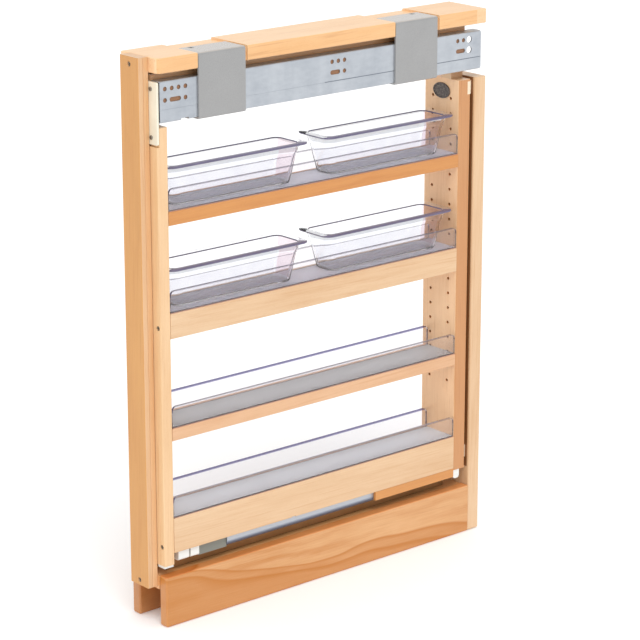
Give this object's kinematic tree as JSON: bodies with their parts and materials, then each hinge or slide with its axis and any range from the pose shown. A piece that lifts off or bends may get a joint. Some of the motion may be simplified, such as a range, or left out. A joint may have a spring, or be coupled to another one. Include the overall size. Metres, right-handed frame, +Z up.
{
  "type": "pull-out pantry organizer",
  "caption": "Narrow maple pull-out pantry on full-extension slides, with lined shelves, clear guard rails and lift-out clear bins, for the gap beside a base cabinet.",
  "frame": {"origin": "on the floor, in the middle of the overall width and depth", "axes": "+Z up; -Y is the way the rack pulls out, out of the decorative front end; +Y is the rear post's end; X is across the narrow width, with the slide's fixed member at -X"},
  "size_m": [0.076, 0.584, 0.762],
  "materials": {
    "wood": "clear satin lacquer on maple",
    "grey_steel": "satin grey powder coat",
    "zinc_steel": "zinc plated",
    "screw_steel": "plain",
    "clear_sheet": "clear acrylic sheet",
    "clear_bin": "clear moulded plastic with a faint violet tint",
    "liner": "grey vinyl",
    "ivory_plastic": "moulded",
    "white_plastic": "moulded",
    "dark_plastic": "plain oval plate"
  },
  "bodies": {
    "frame": {"top_rail": "wood", "front_header": "wood", "rear_post_inner": "wood", "rear_post_outer": "wood", "left_plinth": "wood", "right_plinth": "wood", "bottom_board": "wood", "rear_bracket": "grey_steel", "front_bracket": "grey_steel", "slide_outer": "zinc_steel", "runner_base": "zinc_steel", "post_screws": "screw_steel", "bracket_screws": "screw_steel", "stop_plate_screws": "screw_steel", "rear_stop_plate": "ivory_plastic", "slide_packers": "wood"},
    "rack": {"badge": "dark_plastic", "bottom_shelf": "wood", "bottom_shelf_left_rail": "clear_sheet", "bottom_shelf_left_strip": "wood", "bottom_shelf_liner": "liner", "bottom_shelf_right_rail": "clear_sheet", "bottom_shelf_right_strip": "wood", "front_catches": "white_plastic", "front_panel": "wood", "front_upright": "wood", "hanger_board": "wood", "hanger_screws": "screw_steel", "panel_dowels": "wood", "panel_spacers": "white_plastic", "rear_glides": "white_plastic", "rear_upright": "wood", "runner_cover": "zinc_steel", "runner_side_strips": "wood", "second_shelf": "wood", "second_shelf_left_rail": "clear_sheet", "second_shelf_left_strip": "wood", "second_shelf_liner": "liner", "second_shelf_right_rail": "clear_sheet", "second_shelf_right_strip": "wood", "shelf_pins": "screw_steel", "shelf_screws": "screw_steel", "slide_inner": "zinc_steel", "soft_close_unit": "white_plastic", "third_shelf": "wood", "third_shelf_left_rail": "clear_sheet", "third_shelf_liner": "liner", "third_shelf_right_rail": "clear_sheet", "top_shelf": "wood", "top_shelf_left_rail": "clear_sheet", "top_shelf_liner": "liner", "top_shelf_right_rail": "clear_sheet"},
    "slide_middle": {"slide_middle": "zinc_steel"},
    "runner_middle": {"runner_middle": "zinc_steel"},
    "outer_cage": {"outer_ball_cage": "zinc_steel"},
    "inner_cage": {"inner_ball_cage": "zinc_steel"},
    "top_rear_bin": {"top_rear_bin": "clear_bin"},
    "top_front_bin": {"top_front_bin": "clear_bin"},
    "second_rear_bin": {"second_rear_bin": "clear_bin"},
    "second_front_bin": {"second_front_bin": "clear_bin"}
  },
  "joints": [
    {"name": "rack_pull_out", "type": "slide", "parent": "frame", "child": "rack", "axis": [0, -1, 0], "range_m": [0, 0.5]},
    {"name": "slide_middle_travel", "type": "slide", "parent": "frame", "child": "slide_middle", "axis": [0, -1, 0], "range_m": [0, 0.25]},
    {"name": "runner_middle_travel", "type": "slide", "parent": "frame", "child": "runner_middle", "axis": [0, -1, 0], "range_m": [0, 0.25]},
    {"name": "outer_cage_travel", "type": "slide", "parent": "frame", "child": "outer_cage", "axis": [0, -1, 0], "range_m": [0, 0.125]},
    {"name": "inner_cage_travel", "type": "slide", "parent": "frame", "child": "inner_cage", "axis": [0, -1, 0], "range_m": [0, 0.375]},
    {"name": "top_rear_bin_lift", "type": "slide", "parent": "rack", "child": "top_rear_bin", "axis": [0, 0, 1], "range_m": [0, 0.03]},
    {"name": "top_front_bin_lift", "type": "slide", "parent": "rack", "child": "top_front_bin", "axis": [0, 0, 1], "range_m": [0, 0.03]},
    {"name": "second_rear_bin_lift", "type": "slide", "parent": "rack", "child": "second_rear_bin", "axis": [0, 0, 1], "range_m": [0, 0.03]},
    {"name": "second_front_bin_lift", "type": "slide", "parent": "rack", "child": "second_front_bin", "axis": [0, 0, 1], "range_m": [0, 0.03]}
  ],
  "couplings": [
    {"joint": "slide_middle_travel", "follows": "rack_pull_out", "ratio": 0.5},
    {"joint": "runner_middle_travel", "follows": "rack_pull_out", "ratio": 0.5},
    {"joint": "outer_cage_travel", "follows": "rack_pull_out", "ratio": 0.25},
    {"joint": "inner_cage_travel", "follows": "rack_pull_out", "ratio": 0.75}
  ]
}
